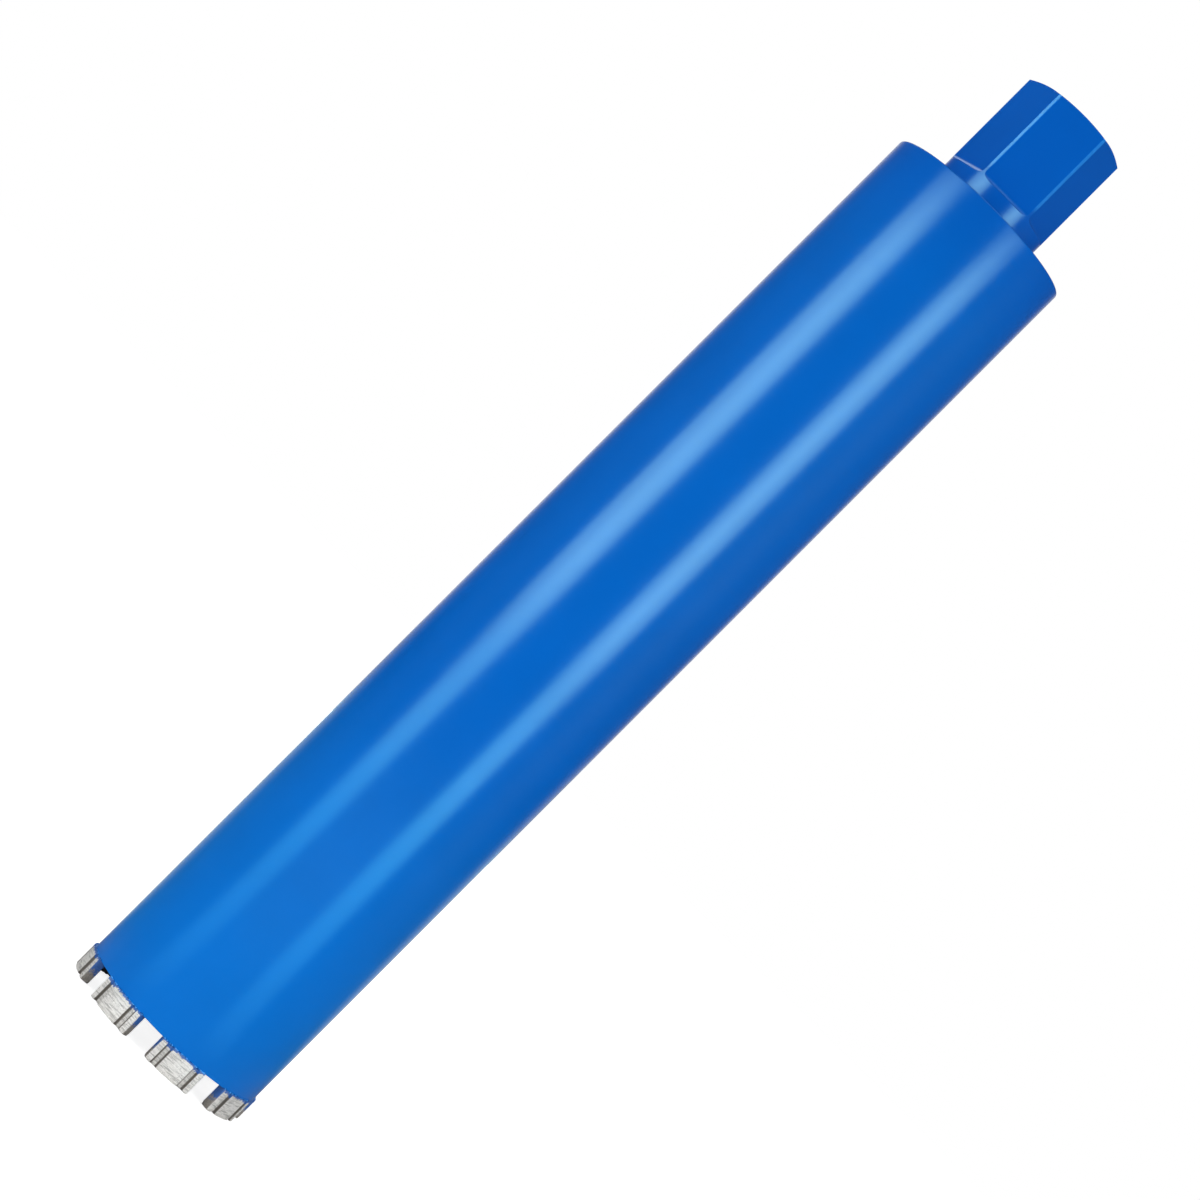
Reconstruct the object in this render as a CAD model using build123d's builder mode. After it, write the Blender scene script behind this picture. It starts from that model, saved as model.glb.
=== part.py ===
# Wet diamond core bit for drilling round holes in concrete and masonry.
# A thin steel barrel carries eight sintered cutting segments, welded on end round its open
# mouth, and is closed at the other end by a turned hub with a hexagon and a spindle thread.
#
# Millimetres. The bit stands on its segments: the origin is on the axis in the plane of the
# cutting tips, and +Z runs up the axis to the hub. The front is -Y, which one hub flat faces.

import os
from math import asin, degrees, radians, tan

from build123d import *

os.makedirs("parts", exist_ok=True)

# Barrel
barrel_diameter = 82.0
barrel_wall = 2.0
barrel_length = 424.5
rim_radius = 0.6  # rounded outer edge at the hub end
register_depth = 9.0  # bore at the hub end that locates the hub's flange
register_step = 0.5  # ledge that the flange seats on

# Cutting segments
segment_count = 8
segment_width = 21.0  # across its two parallel sides
segment_height = 10.0
segment_outer_proud = 1.0  # stands out from the barrel's outside, to clear the hole
segment_inner_proud = 0.6  # stands in from the barrel's inside, to clear the core
segment_corner = 0.4  # rounding of the four edges along the axis
crown_angle = 14.0  # turn of the first segment from +X

# Water grooves along each segment: two outside, near its sides, and one inside at its middle
outer_groove_mouth = 3.0
outer_groove_depth = 1.1
outer_groove_inset = 3.8  # from the segment's side to the groove's middle
inner_groove_mouth = 3.0
inner_groove_depth = 1.2
groove_side_angle = 62.0  # of a groove's side, from its floor
groove_overcut = 1.0  # how far a groove's cutter reaches out of the segment

# Hub
flange_thickness = 8.0
flange_clearance = 0.05  # all round, in the barrel's register
flange_edge = 1.0  # chamfer under the flange, inside the barrel
hub_weld = 1.0  # leg of the fillet weld between the flange and the barrel
collar_diameter = 46.8
collar_fillet = 1.5  # at the foot of the collar
hub_rise = 51.4  # from the barrel's end to the hub's end
hexagon_across_flats = 41.0
hexagon_length = 40.3
runout_radius = 2.2  # hollow that each flat ends in, on the collar
hexagon_chamfer_angle = 15.0  # cone that trims the corners at the hub's end

# Spindle connection, 1 1/4 inch with seven threads to the inch
thread_diameter = 31.75
thread_length = 45.0
tapping_diameter = 28.2  # bore beyond the thread, which brings the water in
thread_mouth_chamfer = 1.2
tapping_mouth_chamfer = 1.0  # at the foot of the bore, inside the barrel

# What follows from them
barrel_radius = barrel_diameter / 2
bore_radius = barrel_radius - barrel_wall
register_radius = bore_radius + register_step
barrel_foot = segment_height
barrel_top = barrel_foot + barrel_length
ledge_level = barrel_top - register_depth
flange_radius = register_radius - flange_clearance
flange_top = ledge_level + flange_thickness
hub_top = barrel_top + hub_rise
collar_radius = collar_diameter / 2
flat_distance = hexagon_across_flats / 2
flat_foot = hub_top - hexagon_length
thread_radius = thread_diameter / 2
tapping_radius = tapping_diameter / 2
segment_outer_radius = barrel_radius + segment_outer_proud
segment_inner_radius = bore_radius - segment_inner_proud
outer_groove_offset = segment_width / 2 - outer_groove_inset


# Barrel: a plain tube, bored out a little at the hub end to locate the flange
with BuildPart() as barrel:
    with BuildSketch(Plane.XY.offset(barrel_foot)):
        Circle(barrel_radius)
        Circle(bore_radius, mode=Mode.SUBTRACT)
    extrude(amount=barrel_length)
    with BuildSketch(Plane.XY.offset(ledge_level)):
        Circle(register_radius)
    extrude(amount=register_depth, mode=Mode.SUBTRACT)
    fillet(barrel.edges().group_by(Axis.Z)[-1].sort_by(SortBy.RADIUS)[-1], rim_radius)
barrel.part.label = "barrel"
export_step(barrel.part, "parts/barrel.step")


# Hub: turned from bar with its bore, then milled with six flats that run out on the collar
chamfer_fall = (collar_radius - flat_distance) * tan(radians(hexagon_chamfer_angle))
tapping_top = hub_top - thread_length
tapping_shoulder = thread_radius - tapping_radius
cutter_reach = collar_radius - flat_distance + 2 * runout_radius

with BuildPart() as hub:
    with BuildSketch(Plane.XZ) as turned_section:
        with BuildLine():
            Polyline(
                (flange_radius, ledge_level),
                (tapping_radius, ledge_level),
                (tapping_radius, tapping_top - tapping_shoulder),
                (thread_radius, tapping_top),
                (thread_radius, hub_top),
                (flat_distance, hub_top),
                (collar_radius, hub_top - chamfer_fall),
                (collar_radius, flange_top),
                (register_radius - hub_weld, flange_top),
                (register_radius, flange_top + hub_weld),
                (register_radius, flange_top),
                (flange_radius, flange_top),
                (flange_radius, ledge_level),
            )
        make_face()
    revolve(axis=Axis.Z)
    flat_planes = [Plane.XZ.rotated((0, 0, 60 * side + 30)) for side in range(6)]
    with BuildSketch(*flat_planes) as mill_path:
        with Locations((flat_distance, flat_foot - runout_radius)):
            Rectangle(
                cutter_reach,
                hexagon_length + runout_radius,
                align=(Align.MIN, Align.MIN),
            )
        inner_vertices = mill_path.vertices().group_by(Axis.X)[0]
        fillet(inner_vertices.sort_by(Axis.Y)[0], runout_radius)
    extrude(amount=collar_diameter / 2, both=True, mode=Mode.SUBTRACT)
    circles = hub.edges().filter_by(GeomType.CIRCLE)
    collar_foot = circles.filter_by(lambda edge: abs(edge.center().Z - flange_top) < 0.01)
    fillet(collar_foot.sort_by(SortBy.RADIUS)[0], collar_fillet)
    end_circles = hub.edges().filter_by(GeomType.CIRCLE).group_by(Axis.Z)
    chamfer(end_circles[-1].sort_by(SortBy.RADIUS)[0], thread_mouth_chamfer)
    chamfer(end_circles[0].sort_by(SortBy.RADIUS)[0], tapping_mouth_chamfer)
    foot_circles = hub.edges().filter_by(GeomType.CIRCLE).group_by(Axis.Z)
    chamfer(foot_circles[0].sort_by(SortBy.RADIUS)[-1], flange_edge)
hub.part.label = "hub"
export_step(hub.part, "parts/hub.step")


# Cutting segments: curved blocks with parallel sides, alike, spaced evenly round the mouth
def groove_section(mouth, depth, opening):
    """Corners of a groove's section, local +X away from the axis; opening is 1 or -1 along it."""
    widening = 1 / tan(radians(groove_side_angle))
    floor_half = mouth / 2 - depth * widening
    open_half = mouth / 2 + groove_overcut * widening
    return [
        (-opening * depth, -floor_half),
        (-opening * depth, floor_half),
        (opening * groove_overcut, open_half),
        (opening * groove_overcut, -open_half),
    ]


groove_turn = degrees(asin(outer_groove_offset / segment_outer_radius))

with BuildSketch() as segment_section:
    Circle(segment_outer_radius)
    Circle(segment_inner_radius, mode=Mode.SUBTRACT)
    Rectangle(
        2 * segment_outer_radius,
        segment_width,
        align=(Align.MIN, Align.CENTER),
        mode=Mode.INTERSECT,
    )
    fillet(segment_section.vertices(), segment_corner)
    with PolarLocations(segment_outer_radius, 2, -groove_turn, 2 * groove_turn, endpoint=True):
        Polygon(
            *groove_section(outer_groove_mouth, outer_groove_depth, 1),
            align=None,
            mode=Mode.SUBTRACT,
        )
    with Locations((segment_inner_radius, 0)):
        Polygon(
            *groove_section(inner_groove_mouth, inner_groove_depth, -1),
            align=None,
            mode=Mode.SUBTRACT,
        )

for number in range(1, segment_count + 1):
    turn = crown_angle + 360 / segment_count * (number - 1)
    with BuildPart() as segment:
        with BuildSketch(Plane.XY.rotated((0, 0, turn))):
            add(segment_section.sketch)
        extrude(amount=segment_height)
    segment.part.label = f"segment_{number}"
    export_step(segment.part, f"parts/segment_{number}.step")
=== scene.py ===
from math import asin, cos, pi, radians, sin

import bmesh
import bpy
from mathutils import Matrix, Vector


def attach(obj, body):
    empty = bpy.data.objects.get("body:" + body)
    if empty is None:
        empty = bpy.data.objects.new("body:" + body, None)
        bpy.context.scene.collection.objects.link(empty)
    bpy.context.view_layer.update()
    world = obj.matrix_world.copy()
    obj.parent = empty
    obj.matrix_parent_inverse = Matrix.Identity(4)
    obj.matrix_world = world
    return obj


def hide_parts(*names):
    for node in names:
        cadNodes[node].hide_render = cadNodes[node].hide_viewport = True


# A wet diamond core bit: a tube and hexagon hub in blue enamel, with bare sintered segments.
# Metres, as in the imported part: the tips stand on z = 0, the axis is Z and the front is -Y.

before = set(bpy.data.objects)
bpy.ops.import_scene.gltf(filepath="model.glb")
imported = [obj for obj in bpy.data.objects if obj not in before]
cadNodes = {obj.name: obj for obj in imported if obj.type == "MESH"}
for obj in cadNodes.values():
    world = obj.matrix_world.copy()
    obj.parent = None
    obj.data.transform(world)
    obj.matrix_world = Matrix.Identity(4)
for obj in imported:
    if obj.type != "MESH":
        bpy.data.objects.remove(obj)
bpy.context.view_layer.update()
print("frame loaded:", len(cadNodes), "solids")

mm = 0.001
noiseLow, noiseHigh = 0.3, 0.7  # nearly all of a noise texture's values lie between these


def hexColour(code):
    # sRGB hex to the linear colour that shaders take
    channels = [int(code[i:i + 2], 16) / 255 for i in (1, 3, 5)]
    return [c / 12.92 if c <= 0.04045 else ((c + 0.055) / 1.055) ** 2.4 for c in channels] + [1.0]


def put(tree, kind, inputs=None, **settings):
    # adds a node with its settings and its inputs, as values or links; gives its first live output
    node = tree.nodes.new(kind)
    for name, value in settings.items():
        setattr(node, name, value)
    for key, value in (inputs or {}).items():
        if isinstance(key, str):
            key = next(i for i, s in enumerate(node.inputs) if s.enabled and s.name == key)
        if isinstance(value, bpy.types.NodeSocket):
            tree.links.new(value, node.inputs[key])
        else:
            node.inputs[key].default_value = value
    return next((s for s in node.outputs if s.enabled), None)


def startMaterial(name):
    # an empty material and its tree
    material = bpy.data.materials.new(name)
    material.use_nodes = True
    material.node_tree.nodes.clear()
    return material, material.node_tree


def startTree(name, sizes):
    # a geometry tree with one named number for each size, and the finish it ends with
    tree = bpy.data.node_groups.new(name, "GeometryNodeTree")
    tree.interface.new_socket("Geometry", in_out="INPUT", socket_type="NodeSocketGeometry")
    for key in sizes:
        tree.interface.new_socket(key, in_out="INPUT", socket_type="NodeSocketFloat")
    tree.interface.new_socket("finish", in_out="INPUT", socket_type="NodeSocketMaterial")
    tree.interface.new_socket("Geometry", in_out="OUTPUT", socket_type="NodeSocketGeometry")
    put(tree, "NodeGroupInput")
    return tree, tree.nodes[0].outputs


def endTree(tree, shape, given):
    # real geometry in its finish, as the tree's result
    real = put(tree, "GeometryNodeRealizeInstances", {"Geometry": shape})
    dressed = put(tree, "GeometryNodeSetMaterial", {"Geometry": real, "Material": given["finish"]})
    put(tree, "NodeGroupOutput", {0: dressed})


def growPiece(name, mesh, tree, values, finish, voxel=0.0):
    # runs a tree on a mesh, remeshed first if a voxel's size is given, and keeps the result as a
    # plain mesh piece on the body
    maker = bpy.data.objects.new("maker", mesh)
    bpy.context.scene.collection.objects.link(maker)
    if voxel:
        remesh = maker.modifiers.new("voxels", "REMESH")
        remesh.mode = "VOXEL"
        remesh.voxel_size = voxel
    modifier = maker.modifiers.new(tree.name, "NODES")
    modifier.node_group = tree
    for item in tree.interface.items_tree:
        if item.in_out == "INPUT" and item.name in values:
            modifier[item.identifier] = float(values[item.name])
        if item.name == "finish":
            modifier[item.identifier] = finish
    graph = bpy.context.evaluated_depsgraph_get()
    made = bpy.data.meshes.new_from_object(maker.evaluated_get(graph), depsgraph=graph)
    made.name = name
    bpy.data.objects.remove(maker)
    piece = bpy.data.objects.new(name, made)
    bpy.context.scene.collection.objects.link(piece)
    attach(piece, "root")
    print(name, "made:", len(made.polygons), "faces")
    return piece


enamelLook = {
    "crownLitColour": "#006ECD",
    "tubeColour": "#005FBE",
    "hubShadedColour": "#0059BB",
    "crownLightReach": 160 * mm,  # how far up the painted light on the crown fades out
    "hubShadeFrom": 400 * mm,  # the painted shade on the hub starts here, and is full at hubShadeReached
    "hubShadeReached": 440 * mm,
    "cloudSize": 40 * mm,
    "cloudRange": (0.35, 0.65),
    "cloudShade": 0.94,
    "roughness": 0.20,
    "ringGloss": 0.03,  # how far the turning marks raise and lower the roughness
    "ringPitch": 0.5 * mm,  # turning marks, really near 0.2 mm, drawn coarser so that they show
    "ringReach": 60 * mm,
    "ringDepth": 0.0008 * mm,
    "peelSize": 1.8 * mm,
    "peelDepth": 0.005 * mm,
    "shine": 0.58,
    "shineTint": (0.42, 0.92, 1.0, 1.0),
    "specks": {  # painted glints, light specks, over painted shade, a darker blue, all over the weld's coat; and dust over a darker blue, painted shade, on the coat inside the tube
        "weld": {"under": "#003F8C", "over": "#4A9FEC", "from": 0.42, "full": 0.6},
        "tube": {"under": "#0058A2", "over": "#4E7FB4", "from": 0.66, "full": 0.74},
    },
    "speckSize": 0.7 * mm,
    "insideRadius": 39.6 * mm,
    "insideTop": 432 * mm,
    "cornerHighlightColour": "#1F7AD2",  # a painted highlight, paler blue, along the hexagon's corners
    "cornerRange": (23.22 * mm, 23.36 * mm),  # off the axis, from none to full
    "cornerLevels": (447 * mm, 450 * mm),
    "bareColour": "#8C8A87",  # no coat at all, in the hub's bore and on its chamfer
    "bareRange": (16.95 * mm, 16.7 * mm),
    "bareRoughness": 0.34,
    "bareMetallic": 0.75,
}


def blueEnamel(name, part):
    # stoved blue spray enamel over turned steel: a deep, saturated blue in semi-gloss, painted a
    # little lighter and greener towards the crown as painted light and deeper on the hub as
    # painted shade, with the fine rings of the turning in its highlights; darker inside the tube
    # as painted shade, and dusty there, mottled with painted glints and painted shade where it
    # runs over the rough weld, with a painted highlight on the hub's corners, and bare steel in
    # the hub's bore
    look = enamelLook
    material, tree = startMaterial(name)
    place = put(tree, "ShaderNodeTexCoord").node.outputs["Object"]
    flat = put(tree, "ShaderNodeVectorMath", {0: place, 1: (1.0, 1.0, 0.0)}, operation="MULTIPLY")
    away = put(tree, "ShaderNodeVectorMath", {0: flat}, operation="LENGTH")
    level = put(tree, "ShaderNodeSeparateXYZ", {0: place}).node.outputs["Z"]
    reach, pitch = 1 / look["ringReach"], 1 / look["ringPitch"]
    drawn = put(tree, "ShaderNodeVectorMath", {0: place, 1: (reach, reach, pitch)},
                operation="MULTIPLY")
    rings = put(tree, "ShaderNodeTexNoise", {"Vector": drawn, "Scale": 1.0, "Detail": 2.0})
    peel = put(tree, "ShaderNodeTexNoise", {"Vector": place, "Scale": 1 / look["peelSize"],
                                            "Detail": 2.0})
    clouds = put(tree, "ShaderNodeTexNoise", {"Vector": place, "Scale": 1 / look["cloudSize"],
                                              "Detail": 2.0})

    # the coat all over, painted lighter and greener at the crown as painted light, and deeper on
    # the hub as painted shade
    clear, full = look["cloudRange"]
    cloudy = put(tree, "ShaderNodeMapRange", {"Value": clouds, "From Min": clear,
                                              "From Max": full})
    pastCrownLight = put(tree, "ShaderNodeMapRange", {"Value": level, "From Max": look["crownLightReach"]})
    intoHubShade = put(tree, "ShaderNodeMapRange", {"Value": level, "From Min": look["hubShadeFrom"],
                                             "From Max": look["hubShadeReached"]})
    colour = hexColour(look["crownLitColour"])
    for share, coat in ((pastCrownLight, "tubeColour"), (intoHubShade, "hubShadedColour")):
        colour = put(tree, "ShaderNodeMix", {"Factor": share, "A": colour,
                                             "B": hexColour(look[coat])}, data_type="RGBA")
    shade = look["cloudShade"]
    colour = put(tree, "ShaderNodeMix", {"Factor": cloudy, "A": colour,
                                         "B": (shade, shade, shade, 1.0)},
                 data_type="RGBA", blend_type="MULTIPLY")
    gloss = put(tree, "ShaderNodeMapRange",
                {"Value": rings, "From Min": noiseLow, "From Max": noiseHigh,
                 "To Min": look["roughness"] - look["ringGloss"],
                 "To Max": look["roughness"] + look["ringGloss"]})
    metallic = 0.0

    # and what is its own on each part, with painted light and shade: glints and shade on the weld,
    # shade inside the tube and a highlight on the hub's corners
    if part in look["specks"]:
        coat = look["specks"][part]
        specks = put(tree, "ShaderNodeTexNoise", {"Vector": place, "Scale": 1 / look["speckSize"],
                                                  "Detail": 1.0})
        specks = put(tree, "ShaderNodeMapRange", {"Value": specks, "From Min": coat["from"],
                                                  "From Max": coat["full"]})
        specked = put(tree, "ShaderNodeMix", {"Factor": specks, "A": hexColour(coat["under"]),
                                              "B": hexColour(coat["over"])}, data_type="RGBA")
        share = 1.0
        if part == "tube":
            within = put(tree, "ShaderNodeMath", {0: away, 1: look["insideRadius"]},
                         operation="LESS_THAN")
            under = put(tree, "ShaderNodeMath", {0: level, 1: look["insideTop"]},
                        operation="LESS_THAN")
            share = put(tree, "ShaderNodeMath", {0: within, 1: under}, operation="MULTIPLY")
        colour = put(tree, "ShaderNodeMix", {"Factor": share, "A": colour, "B": specked},
                     data_type="RGBA")
    if part == "hub":
        # a painted highlight, paler blue, along the hexagon's corners
        near, far = look["cornerRange"]
        outermost = put(tree, "ShaderNodeMapRange", {"Value": away, "From Min": near,
                                                     "From Max": far})
        foot, full = look["cornerLevels"]
        over = put(tree, "ShaderNodeMapRange", {"Value": level, "From Min": foot,
                                                "From Max": full})
        corner = put(tree, "ShaderNodeMath", {0: outermost, 1: over}, operation="MULTIPLY")
        painted, ground = look["bareRange"]
        bare = put(tree, "ShaderNodeMapRange", {"Value": away, "From Min": painted,
                                                "From Max": ground})
        for share, coat in ((corner, "cornerHighlightColour"), (bare, "bareColour")):
            colour = put(tree, "ShaderNodeMix", {"Factor": share, "A": colour,
                                                 "B": hexColour(look[coat])}, data_type="RGBA")
        gloss = put(tree, "ShaderNodeMix", {"Factor": bare, "A": gloss,
                                            "B": look["bareRoughness"]})
        metallic = put(tree, "ShaderNodeMath", {0: bare, 1: look["bareMetallic"]},
                       operation="MULTIPLY")

    ringed = put(tree, "ShaderNodeBump", {"Height": rings, "Distance": look["ringDepth"]})
    surface = put(tree, "ShaderNodeBump", {"Height": peel, "Distance": look["peelDepth"],
                                           "Normal": ringed})
    shader = put(tree, "ShaderNodeBsdfPrincipled",
                 {"Base Color": colour, "Metallic": metallic, "Roughness": gloss,
                  "Normal": surface, "IOR": 1.5, "Specular IOR Level": look["shine"],
                  "Specular Tint": look["shineTint"]})
    put(tree, "ShaderNodeOutputMaterial", {"Surface": shader})
    return material


tappedLook = {
    "dark": "#716F6C",
    "light": "#A5A29E",
    "metallic": 0.75,
    "glossy": 0.26,
    "dull": 0.36,
    "marksPerMetre": (110.0, 110.0, 3600.0),  # about 9 mm long and 0.28 mm apart
    "markDepth": 0.01 * mm,
}


def tappedSteel():
    # free-cutting steel straight from the tap: mid grey, oily sheen, fine marks along the thread
    look = tappedLook
    material, tree = startMaterial("tapped_steel")
    place = put(tree, "ShaderNodeTexCoord").node.outputs["Object"]
    drawn = put(tree, "ShaderNodeVectorMath", {0: place, 1: look["marksPerMetre"]},
                operation="MULTIPLY")
    marks = put(tree, "ShaderNodeTexNoise", {"Vector": drawn, "Scale": 1.0, "Detail": 2.0})
    spread = put(tree, "ShaderNodeMapRange", {"Value": marks, "From Min": noiseLow,
                                              "From Max": noiseHigh})
    colour = put(tree, "ShaderNodeMix", {"Factor": spread, "A": hexColour(look["dark"]),
                                         "B": hexColour(look["light"])}, data_type="RGBA")
    gloss = put(tree, "ShaderNodeMapRange", {"Value": spread, "To Min": look["glossy"],
                                             "To Max": look["dull"]})
    surface = put(tree, "ShaderNodeBump", {"Height": marks, "Distance": look["markDepth"]})
    shader = put(tree, "ShaderNodeBsdfPrincipled",
                 {"Base Color": colour, "Metallic": look["metallic"], "Roughness": gloss,
                  "Normal": surface})
    put(tree, "ShaderNodeOutputMaterial", {"Surface": shader})
    return material


matrixLook = {
    "dark": "#4E4943",
    "middle": "#A19C95",
    "light": "#F1EFEB",
    "markColour": "#4A4642",
    "overspray": "#0A5AAC",
    "cover": 0.9,  # the thin overspray lets a little metal through
    "metallic": 0.4,  # powder metal scatters more than cast or rolled metal does
    "glossy": 0.42,
    "dull": 0.62,
    "gritSize": 0.5 * mm,
    "gritDepth": 0.04 * mm,
    "streakPitch": 0.45 * mm,  # grinding marks, really about 0.1 mm, drawn coarser to show
    "streakReach": 5 * mm,
    "streakRange": (0.46, 0.66),  # where in its noise a mark starts, and where it is full
    "streakStrength": 0.5,
    "pitRange": (0.6, 0.68),
    "pitStrength": 0.85,
    "raggedSize": 1.5 * mm,
    "raggedReach": 0.5 * mm,  # how far the paint's edge wanders up and down
    "speckReach": 1.2,  # and how far specks stray from it, in feathers
    "edgeReach": 0.3,  # and how soft each edge is
}


def sinteredMatrix():
    # sintered bronze and cobalt powder with diamond grit: pale and scored round the bit where it
    # is ground, grey and grainy where it is as pressed, with blue overspray over its foot
    look = matrixLook
    material, tree = startMaterial("sintered_diamond_matrix")
    place = put(tree, "ShaderNodeTexCoord").node.outputs["Object"]
    level = put(tree, "ShaderNodeSeparateXYZ", {0: place}).node.outputs["Z"]
    flat = put(tree, "ShaderNodeVectorMath", {0: place, 1: (1.0, 1.0, 0.0)}, operation="MULTIPLY")
    away = put(tree, "ShaderNodeVectorMath", {0: flat}, operation="LENGTH").node.outputs["Value"]
    stored = {name: put(tree, "ShaderNodeAttribute", attribute_name=name).node.outputs["Fac"]
              for name in ("around", "toneAndShade", "paintLine", "feather")}

    # the metal: dark to light by its stored tone, which carries painted shade on the grooves'
    # walls and corners, with grinding marks and pits in it
    grit = put(tree, "ShaderNodeTexNoise", {"Vector": place, "Scale": 1 / look["gritSize"],
                                            "Detail": 4.0, "Roughness": 0.65})
    turned = put(tree, "ShaderNodeCombineXYZ", {"X": stored["around"], "Y": away, "Z": level})
    reach, pitch = 1 / look["streakReach"], 1 / look["streakPitch"]
    drawn = put(tree, "ShaderNodeVectorMath", {0: turned, 1: (reach, pitch, pitch)},
                operation="MULTIPLY")
    streaks = put(tree, "ShaderNodeTexNoise", {"Vector": drawn, "Scale": 1.0, "Detail": 3.0,
                                               "Roughness": 0.6})
    low = put(tree, "ShaderNodeMapRange", {"Value": stored["toneAndShade"], "From Max": 0.5})
    high = put(tree, "ShaderNodeMapRange", {"Value": stored["toneAndShade"], "From Min": 0.5})
    start, full = look["streakRange"]
    marks = put(tree, "ShaderNodeMapRange", {"Value": streaks, "From Min": start,
                                             "From Max": full, "To Max": look["streakStrength"]})
    start, full = look["pitRange"]
    pits = put(tree, "ShaderNodeMapRange", {"Value": grit, "From Min": start, "From Max": full,
                                            "To Max": look["pitStrength"]})
    marked = put(tree, "ShaderNodeMath", {0: marks, 1: pits}, operation="MAXIMUM")
    metal = hexColour(look["dark"])
    for share, shade in ((low, "middle"), (high, "light"), (marked, "markColour")):
        metal = put(tree, "ShaderNodeMix", {"Factor": share, "A": metal,
                                            "B": hexColour(look[shade])}, data_type="RGBA")

    # the overspray: above the stored paint line, with a ragged, speckled edge
    ragged = put(tree, "ShaderNodeTexNoise", {"Vector": place, "Scale": 1 / look["raggedSize"],
                                              "Detail": 2.0})
    wander = put(tree, "ShaderNodeMapRange", {"Value": ragged, "From Min": noiseLow,
                                              "From Max": noiseHigh,
                                              "To Min": -look["raggedReach"],
                                              "To Max": look["raggedReach"]})
    above = put(tree, "ShaderNodeMath", {0: level, 1: stored["paintLine"]}, operation="SUBTRACT")
    above = put(tree, "ShaderNodeMath", {0: above, 1: wander}, operation="ADD")
    covered = put(tree, "ShaderNodeMath", {0: above, 1: stored["feather"]}, operation="DIVIDE")
    specks = put(tree, "ShaderNodeMapRange", {"Value": grit, "From Min": noiseLow,
                                              "From Max": noiseHigh,
                                              "To Min": -look["speckReach"],
                                              "To Max": look["speckReach"]})
    covered = put(tree, "ShaderNodeMath", {0: covered, 1: specks}, operation="ADD")
    painted = put(tree, "ShaderNodeMapRange", {"Value": covered, "From Min": -look["edgeReach"],
                                               "From Max": look["edgeReach"],
                                               "To Max": look["cover"]})
    colour = put(tree, "ShaderNodeMix", {"Factor": painted, "A": metal,
                                         "B": hexColour(look["overspray"])}, data_type="RGBA")
    bare = put(tree, "ShaderNodeMapRange", {"Value": painted, "To Min": look["metallic"],
                                            "To Max": 0.0})
    gloss = put(tree, "ShaderNodeMapRange", {"Value": grit, "From Min": noiseLow,
                                             "From Max": noiseHigh, "To Min": look["glossy"],
                                             "To Max": look["dull"]})
    surface = put(tree, "ShaderNodeBump", {"Height": grit, "Distance": look["gritDepth"]})
    shader = put(tree, "ShaderNodeBsdfPrincipled", {"Base Color": colour, "Metallic": bare,
                                                    "Roughness": gloss, "Normal": surface})
    put(tree, "ShaderNodeOutputMaterial", {"Surface": shader})
    return material


barrelSizes = {
    "outerRadius": 41.0 * mm,
    "innerRadius": 39.0 * mm,
    "registerRadius": 39.5 * mm,
    "foot": 10.0 * mm,
    "ledge": 425.5 * mm,
    "top": 434.5 * mm,
    "rimRadius": 0.6 * mm,
    "edgeRadius": 0.12 * mm,
    "facets": 288,
    "roundingSteps": 5,
    "creaseAngle": 35,  # degrees; an edge that folds more stays sharp
}


def makeBarrel():
    # the wall's section, turned round the axis; each corner carries its own rounding
    sizes = barrelSizes
    middle = (sizes["outerRadius"] + sizes["innerRadius"]) / 2
    corners = [
        ("outerRadius", "top", sizes["rimRadius"]),
        ("outerRadius", "foot", sizes["edgeRadius"]),
        ("innerRadius", "foot", sizes["edgeRadius"]),
        ("innerRadius", "ledge", sizes["edgeRadius"]),
        ("registerRadius", "ledge", sizes["edgeRadius"]),
        ("registerRadius", "top", sizes["edgeRadius"]),
    ]
    section = bpy.data.meshes.new("barrel_section")
    # the sweep takes x outwards and y downwards
    section.from_pydata([(sizes[r] - middle, -sizes[z], 0.0) for r, z, rounding in corners],
                        [(i, (i + 1) % len(corners)) for i in range(len(corners))], [])
    roundings = section.attributes.new("rounding", "FLOAT", "POINT")
    roundings.data.foreach_set("value", [rounding for r, z, rounding in corners])

    tree, given = startTree("turned_section", ["pathRadius", "facets"])
    outline = put(tree, "GeometryNodeMeshToCurve", {"Mesh": given["Geometry"]})
    rounding = put(tree, "GeometryNodeInputNamedAttribute", {"Name": "rounding"},
                   data_type="FLOAT")
    rounded = put(tree, "GeometryNodeFilletCurve",
                  {"Curve": outline, "Count": sizes["roundingSteps"], "Radius": rounding},
                  mode="POLY")
    path = put(tree, "GeometryNodeCurvePrimitiveCircle", {"Resolution": given["facets"],
                                                          "Radius": given["pathRadius"]})
    wall = put(tree, "GeometryNodeCurveToMesh", {"Curve": path, "Profile Curve": rounded})
    fold = put(tree, "GeometryNodeInputMeshEdgeAngle")
    sharp = put(tree, "ShaderNodeMath", {0: fold, 1: radians(sizes["creaseAngle"])},
                operation="GREATER_THAN")
    smooth = put(tree, "GeometryNodeSetShadeSmooth", {"Geometry": wall}, domain="FACE")
    creased = put(tree, "GeometryNodeSetShadeSmooth", {"Geometry": smooth, "Selection": sharp,
                                                       "Shade Smooth": False}, domain="EDGE")
    endTree(tree, creased, given)
    piece = growPiece("barrel_tube", section, tree,
                      {"pathRadius": middle, "facets": sizes["facets"]}, barrelFinish)
    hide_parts("barrel")


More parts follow.
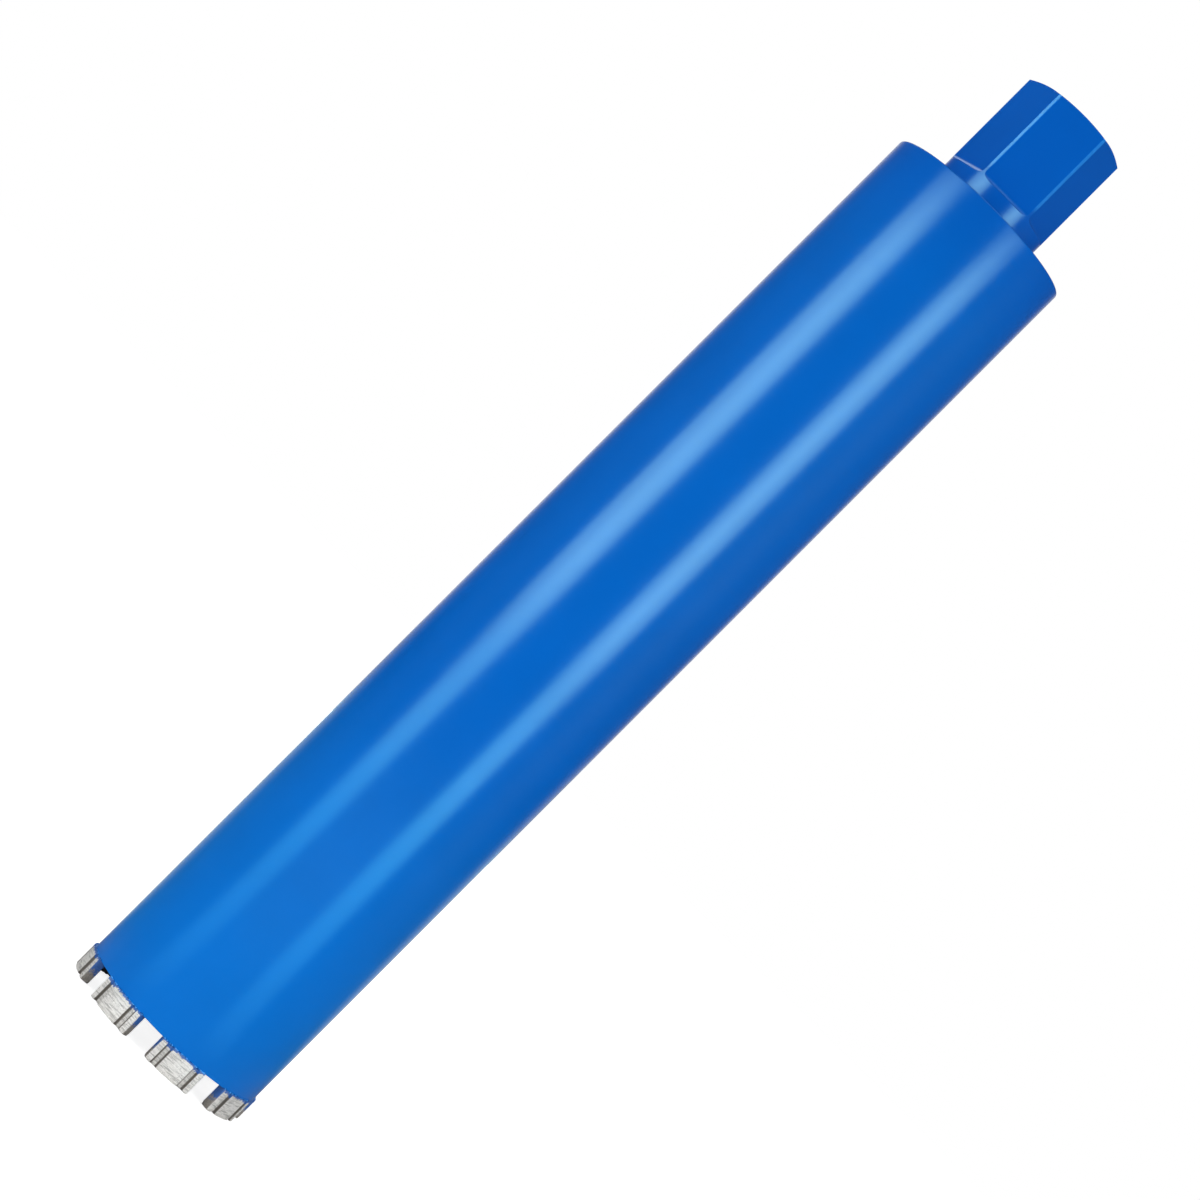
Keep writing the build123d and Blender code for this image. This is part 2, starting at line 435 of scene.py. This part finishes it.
segmentSizes = {
    "count": 8,
    "firstTurn": 14.0,  # degrees from +X
    "width": 21.0 * mm,
    "outerRadius": 42.0 * mm,
    "innerRadius": 38.4 * mm,
    "grooveLevel": 41.5 * mm,  # nearer the axis than this, what faces outwards is a groove's floor
    "voxel": 0.2 * mm,
    "grainSize": 0.8 * mm,
    "lumpSize": 2.6 * mm,
    "holeSize": 1.1 * mm,
    "streakPitch": 0.55 * mm,
    "streakReach": 6.0 * mm,
    "rimDepth": 1.3 * mm,  # how far up from the tips the edges are chipped
    "brittleDepth": 1.2 * mm,  # how far out from its inner face a segment chips the most
    "toughShare": 0.4,  # how much it chips beyond that
    "grainShare": 0.4,  # how much the grains add to the lines across the tips
    "grooveShadeRange": (0.9, 0.6),  # a groove's share, softened, falls through this at its corners
    "paintedShadeStrength": 0.85,
    "skinRange": (0.25, 0.75),  # of the grains' noise, from the skin's deepest to its highest
    "featherOnFaces": 0.2 * mm,  # how gradually the paint begins
    "featherOnSides": 1.6 * mm,
    "seed": 5,
}

segmentDepths = {
    "tipDepth": 0.4 * mm,
    "skinDepth": 0.05 * mm,
    "scratchDepth": 0.05 * mm,
    "pitDepth": 0.2 * mm,
    "chipDepth": 0.7 * mm,
}

# how light each face of a segment is, the walls of the grooves painted dark as shade, and where
# the paint from the tube begins on it
segmentFaces = {
    "ground": {"toneAndShade": 1.0, "paintLine": 9.5 * mm},
    "groove": {"toneAndShade": 0.9, "paintLine": 8.7 * mm},
    "tip": {"toneAndShade": 0.6, "paintLine": 9.5 * mm},
    "inner": {"toneAndShade": 0.0, "paintLine": 3.8 * mm},
    "side": {"toneAndShade": 0.5, "paintLine": 4.9 * mm},
    "wall": {"toneAndShade": 0.15, "paintLine": 8.5 * mm},
}

# what each zone of a segment is told by, where it starts and where it is full
segmentZones = {
    "tip": {"by": "rise", "from": -0.5, "full": -0.8},
    "outer": {"by": "facing", "from": 0.6, "full": 0.9},
    "inner": {"by": "facing", "from": -0.4, "full": -0.7},
    "proud": {"by": "away", "from": segmentSizes["grooveLevel"] - 0.2 * mm,
              "full": segmentSizes["grooveLevel"] + 0.2 * mm},
    "atSide": {"by": "across", "from": segmentSizes["width"] / 2 - 0.5 * mm,
               "full": segmentSizes["width"] / 2 - 0.2 * mm},
    "underside": {"by": "rise", "from": -0.15, "full": -0.45},
    "offTip": {"by": "rise", "from": -0.95, "full": -0.85},
    "atRim": {"by": "level", "from": segmentSizes["rimDepth"], "full": 0.0},
    "free": {"by": "level", "from": 9.8 * mm, "full": 9.3 * mm},  # the welded foot stays true
}

# which noise each cut into the surface follows, where it starts, where it is full and how deep
segmentCuts = {
    "lines": {"by": "streaks", "from": 0.35, "full": 0.65, "depth": "tipDepth"},
    "coarse": {"by": "grains", "from": 0.4, "full": 0.7, "depth": "tipDepth"},
    "score": {"by": "streaks", "from": 0.4, "full": 0.65, "depth": "scratchDepth"},
    "pits": {"by": "holes", "from": 0.62, "full": 0.7, "depth": "pitDepth"},
    "chips": {"by": "lumps", "from": 0.45, "full": 0.7, "depth": "chipDepth"},
}


def segmentTree():
    # roughens a segment face by face, and stores what its finish needs on each point: the arc
    # from the segment's middle, the tone with painted shade in it, the paint line and how
    # gradually the paint begins
    sizes = segmentSizes
    tree, given = startTree("sintered_surface", ["turn", "seed", *segmentDepths])
    place = put(tree, "GeometryNodeInputPosition")
    normal = put(tree, "GeometryNodeInputNormal")
    back = put(tree, "ShaderNodeMath", {0: given["turn"], 1: -1.0}, operation="MULTIPLY")
    own = put(tree, "ShaderNodeVectorRotate", {"Vector": place, "Angle": back},
              rotation_type="Z_AXIS")
    ownParts = put(tree, "ShaderNodeSeparateXYZ", {0: own}).node.outputs
    angle = put(tree, "ShaderNodeMath", {0: ownParts["Y"], 1: ownParts["X"]}, operation="ARCTAN2")
    around = put(tree, "ShaderNodeMath", {0: angle, 1: sizes["outerRadius"]},
                 operation="MULTIPLY")
    flat = put(tree, "ShaderNodeVectorMath", {0: place, 1: (1.0, 1.0, 0.0)}, operation="MULTIPLY")
    away = put(tree, "ShaderNodeVectorMath", {0: flat}, operation="LENGTH").node.outputs["Value"]
    outward = put(tree, "ShaderNodeVectorMath", {0: flat}, operation="NORMALIZE")
    facing = put(tree, "ShaderNodeVectorMath", {0: normal, 1: outward},
                 operation="DOT_PRODUCT").node.outputs["Value"]
    rise = put(tree, "ShaderNodeSeparateXYZ", {0: normal}).node.outputs["Z"]
    across = put(tree, "ShaderNodeMath", {0: ownParts["Y"]}, operation="ABSOLUTE")

    # how far a point belongs to each zone, and from that to each face; the faces add up to one
    told = {"rise": rise, "facing": facing, "away": away, "across": across,
            "level": ownParts["Z"]}
    zones = {}
    for name, zone in segmentZones.items():
        zones[name] = put(tree, "ShaderNodeMapRange",
                          {"Value": told[zone["by"]], "From Min": zone["from"],
                           "From Max": zone["full"]})
    tip, outer, inner = zones["tip"], zones["outer"], zones["inner"]
    ground = put(tree, "ShaderNodeMath", {0: outer, 1: zones["proud"]}, operation="MULTIPLY")
    groove = put(tree, "ShaderNodeMath", {0: outer, 1: ground}, operation="SUBTRACT")
    rest = 1.0
    for taken in (tip, outer, inner):
        rest = put(tree, "ShaderNodeMath", {0: rest, 1: taken}, operation="SUBTRACT",
                   use_clamp=True)
    side = put(tree, "ShaderNodeMath", {0: rest, 1: zones["atSide"]}, operation="MULTIPLY")
    wall = put(tree, "ShaderNodeMath", {0: rest, 1: side}, operation="SUBTRACT")
    shares = {"ground": ground, "groove": groove, "tip": tip, "inner": inner, "side": side,
              "wall": wall}

    # painted shade darkens the corners of the grooves and the rounded edge under the ground face
    softened = put(tree, "GeometryNodeBlurAttribute", {"Value": groove, "Iterations": 4})
    start, full = sizes["grooveShadeRange"]
    corner = put(tree, "ShaderNodeMapRange", {"Value": softened, "From Min": start,
                                              "From Max": full})
    corner = put(tree, "ShaderNodeMath", {0: corner, 1: groove}, operation="MULTIPLY")
    edge = put(tree, "ShaderNodeMath", {0: zones["underside"], 1: zones["offTip"]},
               operation="MULTIPLY")
    paintedShade = put(tree, "ShaderNodeMath", {0: corner, 1: edge}, operation="MAXIMUM")
    unshaded = put(tree, "ShaderNodeMath", {0: paintedShade, 1: -sizes["paintedShadeStrength"], 2: 1.0},
                operation="MULTIPLY_ADD")

    # the noises: round ones in the part's own frame, and streaks that run round the bit
    noises = {}
    for name, size, detail in (("grains", "grainSize", 3.0), ("lumps", "lumpSize", 2.0),
                               ("holes", "holeSize", 2.0)):
        noises[name] = put(tree, "ShaderNodeTexNoise",
                           {"Vector": place, "W": given["seed"], "Scale": 1 / sizes[size],
                            "Detail": detail}, noise_dimensions="4D")
    turned = put(tree, "ShaderNodeCombineXYZ", {"X": around, "Y": away, "Z": ownParts["Z"]})
    reach, pitch = 1 / sizes["streakReach"], 1 / sizes["streakPitch"]
    drawn = put(tree, "ShaderNodeVectorMath", {0: turned, 1: (reach, pitch, pitch)},
                operation="MULTIPLY")
    noises["streaks"] = put(tree, "ShaderNodeTexNoise",
                            {"Vector": drawn, "W": given["seed"], "Scale": 1.0, "Detail": 1.0},
                            noise_dimensions="4D")

    # each cut goes in along the normal, where its face has a share
    cuts = {}
    for name, cut in segmentCuts.items():
        cuts[name] = put(tree, "ShaderNodeMapRange",
                         {"Value": noises[cut["by"]], "From Min": cut["from"],
                          "From Max": cut["full"], "To Max": given[cut["depth"]]})
    tipCut = put(tree, "ShaderNodeMath", {0: cuts["coarse"], 1: sizes["grainShare"],
                                          2: cuts["lines"]}, operation="MULTIPLY_ADD")
    tipCut = put(tree, "ShaderNodeMath", {0: tipCut, 1: tip}, operation="MULTIPLY")
    scoreCut = put(tree, "ShaderNodeMath", {0: cuts["score"], 1: ground}, operation="MULTIPLY")
    brittle = put(tree, "ShaderNodeMapRange",
                  {"Value": away, "From Min": sizes["innerRadius"],
                   "From Max": sizes["innerRadius"] + sizes["brittleDepth"], "To Min": 1.0,
                   "To Max": sizes["toughShare"]})
    chipCut = put(tree, "ShaderNodeMath", {0: cuts["chips"], 1: zones["atRim"]},
                  operation="MULTIPLY")
    chipCut = put(tree, "ShaderNodeMath", {0: chipCut, 1: brittle}, operation="MULTIPLY")
    least = put(tree, "ShaderNodeMath", {0: given["skinDepth"], 1: -1.0}, operation="MULTIPLY")
    low, high = sizes["skinRange"]
    shift = put(tree, "ShaderNodeMapRange",
                {"Value": noises["grains"], "From Min": low, "From Max": high, "To Min": least,
                 "To Max": given["skinDepth"]})
    for cut in (tipCut, scoreCut, cuts["pits"], chipCut):
        shift = put(tree, "ShaderNodeMath", {0: shift, 1: cut}, operation="SUBTRACT")
    shift = put(tree, "ShaderNodeMath", {0: shift, 1: zones["free"]}, operation="MULTIPLY")
    offset = put(tree, "ShaderNodeVectorMath", {0: normal, "Scale": shift}, operation="SCALE")

    feather = put(tree, "ShaderNodeMapRange", {"Value": side, "To Min": sizes["featherOnFaces"],
                                               "To Max": sizes["featherOnSides"]})
    kept = {"around": around, "feather": feather}
    for key in ("toneAndShade", "paintLine"):
        kept[key] = 0.0
        for face, share in shares.items():
            kept[key] = put(tree, "ShaderNodeMath", {0: share, 1: segmentFaces[face][key],
                                                     2: kept[key]}, operation="MULTIPLY_ADD")
    kept["toneAndShade"] = put(tree, "ShaderNodeMath", {0: kept["toneAndShade"], 1: unshaded}, operation="MULTIPLY")
    shape = given["Geometry"]
    for name, value in kept.items():
        shape = put(tree, "GeometryNodeStoreNamedAttribute",
                    {"Geometry": shape, "Name": name, "Value": value},
                    data_type="FLOAT", domain="POINT")
    moved = put(tree, "GeometryNodeSetPosition", {"Geometry": shape, "Offset": offset})
    smooth = put(tree, "GeometryNodeSetShadeSmooth", {"Geometry": moved})
    endTree(tree, smooth, given)
    return tree


def makeSegments():
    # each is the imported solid, joined up from its loose triangles and remeshed in fine voxels
    sizes = segmentSizes
    tree = segmentTree()
    for number in range(1, sizes["count"] + 1):
        node = f"segment_{number}"
        joined = bmesh.new()
        joined.from_mesh(cadNodes[node].data)
        bmesh.ops.remove_doubles(joined, verts=joined.verts, dist=0.001 * mm)
        mesh = bpy.data.meshes.new("segment_solid")
        joined.to_mesh(mesh)
        joined.free()
        turn = radians(sizes["firstTurn"] + 360 / sizes["count"] * (number - 1))
        values = {**segmentDepths, "turn": turn, "seed": sizes["seed"] + number}
        piece = growPiece(f"cutting_segment_{number}", mesh, tree, values, segmentFinish,
                          voxel=sizes["voxel"])
        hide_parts(node)


weldSizes = {
    "outerRadius": 41.05 * mm,
    "innerRadius": 38.95 * mm,
    "level": 9.95 * mm,
    "shortBy": 0.2 * mm,  # how far it stops from each side of its segment
    "bead": 0.34 * mm,
    "steps": 90,  # along a bead, and round it
    "sides": 10,
    "thinnest": 0.5,  # times the bead
    "thickest": 1.4,
    "lumpSize": 1.1 * mm,
    "wander": 0.16 * mm,
    "wanderSize": 1.5 * mm,
    "dropFrom": 0.45,  # a drop where each weld ends, in lengths from its middle
    "dropReached": 0.48,
    "drop": 0.9,
    "seed": 3,
}


def makeWelds():
    # an uneven painted bead in the step between the tube and each segment, outside and inside
    sizes = weldSizes
    tree, given = startTree("weld_beads", ["radius", "level", "bead", "wander", "sweep", "count",
                                           "firstTurn", "seed"])
    start = put(tree, "ShaderNodeMath", {0: given["sweep"], 1: -0.5}, operation="MULTIPLY")
    arc = put(tree, "GeometryNodeCurveArc",
              {"Resolution": sizes["steps"], "Radius": given["radius"], "Start Angle": start,
               "Sweep Angle": given["sweep"]}, mode="RADIUS")
    spots = put(tree, "GeometryNodePoints", {"Count": given["count"],
                                             "Position": (0.0, 0.0, 0.0)})
    pitch = put(tree, "ShaderNodeMath", {0: 2 * pi, 1: given["count"]}, operation="DIVIDE")
    index = put(tree, "GeometryNodeInputIndex")
    turn = put(tree, "ShaderNodeMath", {0: index, 1: pitch, 2: given["firstTurn"]},
               operation="MULTIPLY_ADD")
    turned = put(tree, "ShaderNodeCombineXYZ", {"Z": turn})
    ring = put(tree, "GeometryNodeInstanceOnPoints", {"Points": spots, "Instance": arc,
                                                      "Rotation": turned})
    arcs = put(tree, "GeometryNodeRealizeInstances", {"Geometry": ring})
    place = put(tree, "GeometryNodeInputPosition")
    wave = put(tree, "ShaderNodeTexNoise", {"Vector": place, "W": given["seed"],
                                            "Scale": 1 / sizes["wanderSize"], "Detail": 2.0},
               noise_dimensions="4D").node.outputs["Color"]
    centred = put(tree, "ShaderNodeVectorMath", {0: wave, 1: (0.5, 0.5, 0.5)},
                  operation="SUBTRACT")
    wander = put(tree, "ShaderNodeVectorMath", {0: centred, "Scale": given["wander"]},
                 operation="SCALE")
    lift = put(tree, "ShaderNodeCombineXYZ", {"Z": given["level"]})
    offset = put(tree, "ShaderNodeVectorMath", {0: wander, 1: lift}, operation="ADD")
    laid = put(tree, "GeometryNodeSetPosition", {"Geometry": arcs, "Offset": offset})
    lumps = put(tree, "ShaderNodeTexNoise", {"Vector": place, "W": given["seed"],
                                             "Scale": 1 / sizes["lumpSize"], "Detail": 2.0},
                noise_dimensions="4D")
    thickness = put(tree, "ShaderNodeMapRange",
                    {"Value": lumps, "From Min": noiseLow, "From Max": noiseHigh,
                     "To Min": sizes["thinnest"], "To Max": sizes["thickest"]})
    along = put(tree, "GeometryNodeSplineParameter").node.outputs["Factor"]
    centre = put(tree, "ShaderNodeMath", {0: along, 1: -0.5}, operation="ADD")
    centre = put(tree, "ShaderNodeMath", {0: centre}, operation="ABSOLUTE")
    atEnd = put(tree, "ShaderNodeMapRange",
                {"Value": centre, "From Min": sizes["dropFrom"],
                 "From Max": sizes["dropReached"], "To Max": sizes["drop"]})
    thickness = put(tree, "ShaderNodeMath", {0: thickness, 1: atEnd}, operation="ADD")
    section = put(tree, "GeometryNodeCurvePrimitiveCircle", {"Resolution": sizes["sides"],
                                                             "Radius": given["bead"]})
    bead = put(tree, "GeometryNodeCurveToMesh", {"Curve": laid, "Profile Curve": section,
                                                 "Scale": thickness, "Fill Caps": True})
    smooth = put(tree, "GeometryNodeSetShadeSmooth", {"Geometry": bead})
    endTree(tree, smooth, given)
    for side in ("outer", "inner"):
        radius = sizes[side + "Radius"]
        values = {
            **sizes,
            "radius": radius,
            "sweep": 2 * asin((segmentSizes["width"] / 2 - sizes["shortBy"]) / radius),
            "count": segmentSizes["count"],
            "firstTurn": radians(segmentSizes["firstTurn"]),
        }
        growPiece(f"weld_beads_{side}", bpy.data.meshes.new("nothing"), tree, values, weldFinish)


threadSizes = {
    "pitch": 25.4 / 7 * mm,
    "wallRadius": 15.875 * mm,
    "spare": 0.1 * mm,  # height added to the ridge, half of which sinks into the wall
    "depth": 1.85 * mm,
    "rootWidth": 3.1 * mm,
    "crestWidth": 0.7 * mm,
    "foot": 442.6 * mm,
    "turns": 11.3,
    "perTurn": 72,
    "runOut": 0.04,  # of its length, over which each end thins out
    "endSize": 0.2,
}


def makeThread():
    # one ridge wound right-handed up the hub's bore, thinning out at both ends
    sizes = threadSizes
    tree, given = startTree("wound_thread", list(sizes))
    half = put(tree, "ShaderNodeMath", {0: given["depth"], 1: -0.5, 2: given["wallRadius"]},
               operation="MULTIPLY_ADD")
    climb = put(tree, "ShaderNodeMath", {0: given["pitch"], 1: given["turns"]},
                operation="MULTIPLY")
    path = put(tree, "GeometryNodeCurveSpiral",
               {"Resolution": given["perTurn"], "Rotations": given["turns"], "Start Radius": half,
                "End Radius": half, "Height": climb})
    upright = put(tree, "GeometryNodeSetCurveNormal", {"Curve": path}, mode="Z_UP")
    deep = put(tree, "ShaderNodeMath", {0: given["depth"], 1: given["spare"]}, operation="ADD")
    section = put(tree, "GeometryNodeCurvePrimitiveQuadrilateral",
                  {"Bottom Width": given["rootWidth"], "Top Width": given["crestWidth"],
                   "Offset": 0.0, "Height": deep}, mode="TRAPEZOID")
    turned = put(tree, "GeometryNodeTransform", {"Geometry": section,
                                                 "Rotation": (0.0, 0.0, pi / 2)})
    along = put(tree, "GeometryNodeSplineParameter").node.outputs["Factor"]
    first = put(tree, "ShaderNodeMapRange", {"Value": along, "From Max": given["runOut"],
                                             "To Min": given["endSize"]})
    last = put(tree, "ShaderNodeMapRange", {"Value": along, "From Min": 1.0 - sizes["runOut"],
                                            "To Min": 1.0, "To Max": given["endSize"]})
    taper = put(tree, "ShaderNodeMath", {0: first, 1: last}, operation="MINIMUM")
    ridge = put(tree, "GeometryNodeCurveToMesh", {"Curve": upright, "Profile Curve": turned,
                                                  "Scale": taper, "Fill Caps": True})
    lift = put(tree, "ShaderNodeCombineXYZ", {"Z": given["foot"]})
    raised = put(tree, "GeometryNodeTransform", {"Geometry": ridge, "Translation": lift})
    endTree(tree, raised, given)
    growPiece("hub_thread", bpy.data.meshes.new("nothing"), tree, sizes, threadFinish)


def dressHub():
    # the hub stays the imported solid, in its own finish
    hubMesh = cadNodes["hub"].data
    hubMesh.materials.clear()
    hubMesh.materials.append(hubFinish)


barrelFinish = blueEnamel("enamelled_tube", "tube")
hubFinish = blueEnamel("enamelled_hub", "hub")
weldFinish = blueEnamel("enamelled_weld", "weld")
threadFinish = tappedSteel()
segmentFinish = sinteredMatrix()
print("finishes made")

makeBarrel()
makeSegments()
makeWelds()
makeThread()
dressHub()
print("bit made")


studio = {
    "floor": "#D0D0CE",
    "floorRoughness": 0.9,
    "floorSide": 9.0,
    "floorLevel": -0.2 * mm,
    "glossByBit": "#8A8A88",  # the paper as gloss shows it, painted darker as shade: grey by the segments
    "glossBeyond": "#508A90",  # and blue beyond them, a painted reflection of the bit's blue, so that the enamel's highlights stay blue
    "blueFrom": 0.08,
    "blueReached": 0.15,
    "glowNear": 0.88,  # white that the floor adds for the camera, by the bit and far from it
    "glowFar": 0.95,
    "glowFrom": 0.3,
    "glowReached": 1.8,
    "poolNear": 0.09,  # the pools of light on the paper start here, and are brightest at poolFar
    "poolFar": 0.75,
    "poolRise": 0.6,
    "ambient": 0.12,
    "room": 0.05,  # what gloss shows in front of the bit, where the room is dim
    "backdropFrom": 0.72,  # behind the bit it shows the white backdrop, from here on
    "backdropRise": 3.0,
    "cameraTurn": -2.0,  # degrees from the front, -Y
    "cameraAway": 1.2348,
    "cameraLevel": 0.2256,
    "focalPixels": 3299.0,
    "pictureSide": 1200,
    "axisPixel": (583.9, 613.8),  # where the camera's own level meets the axis in the picture
}

# light on the paper that only gloss shows, from the two softboxes, with the bit's blue in it, and
# from the backdrop: turn from the camera and half width in degrees, and brightness by the bit and
# far from it
pools = [
    {"turn": -44.8, "half": 16.0, "near": 0.0, "far": 3.0, "colour": (0.35, 1.0, 1.05)},
    {"turn": 38.5, "half": 16.0, "near": 0.0, "far": 3.6, "colour": (0.35, 1.0, 1.05)},
    {"turn": 180.0, "half": 50.0, "near": 0.5, "far": 0.5, "colour": (1.0, 1.0, 1.0)},
]

# softboxes: turn from the camera in degrees, distance, middle, width, height and brightness; one
# shines level unless it has an aim, the height on the axis that it points at, and a fill is kept
# out of the gloss; each of the two tall ones at the front has a brighter strip in its middle,
# which gives the highlights their pale core
softboxes = [
    {"turn": -46.0, "away": 1.10, "middle": 0.47, "wide": 0.66, "tall": 0.58, "bright": 4.8},
    {"turn": -44.0, "away": 1.09, "middle": 0.47, "wide": 0.28, "tall": 0.58, "bright": 1.9},
    {"turn": -46.0, "away": 1.10, "middle": 0.09, "wide": 0.50, "tall": 0.17, "bright": 1.7},
    {"turn": 40.5, "away": 1.10, "middle": 0.47, "wide": 0.54, "tall": 0.58, "bright": 4.8},
    {"turn": 39.8, "away": 1.09, "middle": 0.47, "wide": 0.20, "tall": 0.58, "bright": 2.2},
    {"turn": 39.5, "away": 1.10, "middle": 0.09, "wide": 0.42, "tall": 0.17, "bright": 2.0},
    {"turn": -135.0, "away": 1.30, "middle": 1.20, "wide": 0.60, "tall": 0.60, "bright": 1.8,
     "aim": 0.45},
    {"turn": 0.0, "away": 0.15, "middle": 1.50, "wide": 1.00, "tall": 1.00, "bright": 1.1,
     "aim": 0.30},
    {"turn": 0.0, "away": 0.30, "middle": 0.05, "wide": 0.40, "tall": 0.09, "bright": 1.6,
     "fill": True},
    {"turn": -92.0, "away": 1.20, "middle": 0.30, "wide": 0.60, "tall": 0.90, "bright": 1.6,
     "fill": True},
    {"turn": 85.0, "away": 1.20, "middle": 0.30, "wide": 0.60, "tall": 0.90, "bright": 2.4,
     "fill": True},
    {"turn": 180.0, "away": 1.80, "middle": 0.60, "wide": 1.80, "tall": 1.20, "bright": 3.0,
     "fill": True},
]


def aroundAxis(turn, away, level):
    # a place round the bit, turned from the front
    angle = radians(turn)
    return Vector((away * sin(angle), -away * cos(angle), level))


def makeFloor():
    # white paper: it glows for the camera, and gloss sees it darker, with the pools of light
    side = studio["floorSide"] / 2
    mesh = bpy.data.meshes.new("studio_floor")
    mesh.from_pydata([(x * side, y * side, studio["floorLevel"])
                      for x, y in ((-1, -1), (1, -1), (1, 1), (-1, 1))], [], [(0, 1, 2, 3)])
    material, tree = startMaterial("studio_paper")
    path = put(tree, "ShaderNodeLightPath").node.outputs
    gloss = path["Is Glossy Ray"]
    place = put(tree, "ShaderNodeTexCoord").node.outputs["Object"]
    away = put(tree, "ShaderNodeVectorMath", {0: place}, operation="LENGTH").node.outputs["Value"]
    spread = put(tree, "ShaderNodeMapRange",
                 {"Value": away, "From Min": studio["glowFrom"], "From Max": studio["glowReached"],
                  "To Min": studio["glowNear"], "To Max": studio["glowFar"]})
    glow = put(tree, "ShaderNodeMath", {0: path["Is Camera Ray"], 1: spread},
               operation="MULTIPLY")
    bearing = put(tree, "ShaderNodeVectorMath", {0: place}, operation="NORMALIZE")
    outward = put(tree, "ShaderNodeMapRange", {"Value": away, "From Min": studio["poolNear"],
                                               "From Max": studio["poolFar"]})
    rise = put(tree, "ShaderNodeMath", {0: outward, 1: studio["poolRise"]}, operation="POWER")
    for pool in pools:
        middle = aroundAxis(studio["cameraTurn"] + pool["turn"], 1.0, 0.0)
        along = put(tree, "ShaderNodeVectorMath", {0: bearing, 1: middle},
                    operation="DOT_PRODUCT").node.outputs["Value"]
        within = put(tree, "ShaderNodeMapRange",
                     {"Value": along, "From Min": cos(radians(pool["half"]))},
                     interpolation_type="SMOOTHSTEP")
        lit = put(tree, "ShaderNodeMapRange", {"Value": rise, "To Min": pool["near"],
                                               "To Max": pool["far"]})
        shown = put(tree, "ShaderNodeMath", {0: within, 1: gloss}, operation="MULTIPLY")
        shown = put(tree, "ShaderNodeMath", {0: shown, 1: lit}, operation="MULTIPLY")
        glow = put(tree, "ShaderNodeVectorMath", {0: shown, 1: pool["colour"], 2: glow},
                   operation="MULTIPLY_ADD")
    beyond = put(tree, "ShaderNodeMapRange", {"Value": away, "From Min": studio["blueFrom"],
                                              "From Max": studio["blueReached"]})
    paperInGloss = put(tree, "ShaderNodeMix", {"Factor": beyond, "A": hexColour(studio["glossByBit"]),
                                          "B": hexColour(studio["glossBeyond"])},
                  data_type="RGBA")
    paper = put(tree, "ShaderNodeMix", {"Factor": gloss, "A": hexColour(studio["floor"]),
                                        "B": paperInGloss}, data_type="RGBA")
    shader = put(tree, "ShaderNodeBsdfPrincipled",
                 {"Base Color": paper, "Roughness": studio["floorRoughness"],
                  "Specular IOR Level": 0.0, "Emission Color": glow,
                  "Emission Strength": 1.0})
    put(tree, "ShaderNodeOutputMaterial", {"Surface": shader})
    mesh.materials.append(material)
    floor = bpy.data.objects.new("studio_floor", mesh)
    bpy.context.scene.collection.objects.link(floor)


def makeWorld():
    # white for the camera, dim all round for the light, and a backdrop behind the bit for gloss
    world = bpy.data.worlds.new("studio_room")
    bpy.context.scene.world = world
    world.use_nodes = True
    tree = world.node_tree
    tree.nodes.clear()
    path = put(tree, "ShaderNodeLightPath").node.outputs
    direction = put(tree, "ShaderNodeTexCoord").node.outputs["Generated"]
    behind = put(tree, "ShaderNodeSeparateXYZ", {0: direction}).node.outputs["Y"]
    turned = put(tree, "ShaderNodeMapRange", {"Value": behind,
                                              "From Min": studio["backdropFrom"]})
    risen = put(tree, "ShaderNodeMath", {0: turned, 1: studio["backdropRise"]},
                operation="POWER")
    backdrop = put(tree, "ShaderNodeMapRange", {"Value": risen, "To Min": studio["room"]})
    strength = put(tree, "ShaderNodeMix", {"Factor": path["Is Glossy Ray"],
                                           "A": studio["ambient"], "B": backdrop})
    strength = put(tree, "ShaderNodeMix", {"Factor": path["Is Camera Ray"], "A": strength,
                                           "B": 1.0})
    light = put(tree, "ShaderNodeBackground", {"Color": (1.0, 1.0, 1.0, 1.0),
                                               "Strength": strength})
    put(tree, "ShaderNodeOutputWorld", {"Surface": light})


def makeSoftboxes():
    for number, box in enumerate(softboxes, 1):
        lamp = bpy.data.lights.new(f"softbox_{number}", "AREA")
        lamp.shape = "RECTANGLE"
        lamp.size = box["wide"]
        lamp.size_y = box["tall"]
        lamp.energy = box["bright"] * pi * box["wide"] * box["tall"]
        holder = bpy.data.objects.new(f"softbox_{number}", lamp)
        holder.location = aroundAxis(studio["cameraTurn"] + box["turn"], box["away"],
                                     box["middle"])
        drop = box.get("aim", box["middle"]) - box["middle"]
        inward = Vector((-holder.location.x, -holder.location.y, drop))
        holder.rotation_euler = inward.to_track_quat("-Z", "Y").to_euler()
        holder.visible_camera = False
        holder.visible_glossy = not box.get("fill")
        bpy.context.scene.collection.objects.link(holder)


def makeCamera():
    # the bit stands upright, and the camera is rolled by 45 degrees for the leaning picture
    lens = bpy.data.cameras.new("camera")
    lens.sensor_width = 36
    lens.lens = studio["focalPixels"] / studio["pictureSide"] * lens.sensor_width
    camera = bpy.data.objects.new("camera", lens)
    place = aroundAxis(studio["cameraTurn"], studio["cameraAway"], studio["cameraLevel"])
    ahead = Vector((-place.x, -place.y, 0.0)).normalized()
    upright = Vector((0.0, 0.0, 1.0))
    rightward = ahead.cross(upright)
    pictureRight = (rightward + upright).normalized()
    pictureUp = (upright - rightward).normalized()
    half = studio["pictureSide"] / 2
    acrossBy = (half - studio["axisPixel"][0]) / studio["focalPixels"]
    upBy = (studio["axisPixel"][1] - half) / studio["focalPixels"]
    look = (ahead + pictureRight * acrossBy + pictureUp * upBy).normalized()
    side = look.cross(pictureUp).normalized()
    turned = Matrix((side, side.cross(look), -look)).transposed()
    camera.matrix_world = Matrix.Translation(place) @ turned.to_4x4()
    bpy.context.scene.collection.objects.link(camera)
    bpy.context.scene.camera = camera


makeFloor()
makeWorld()
makeSoftboxes()
makeCamera()
bpy.context.scene.view_settings.view_transform = "Standard"
print("studio made")
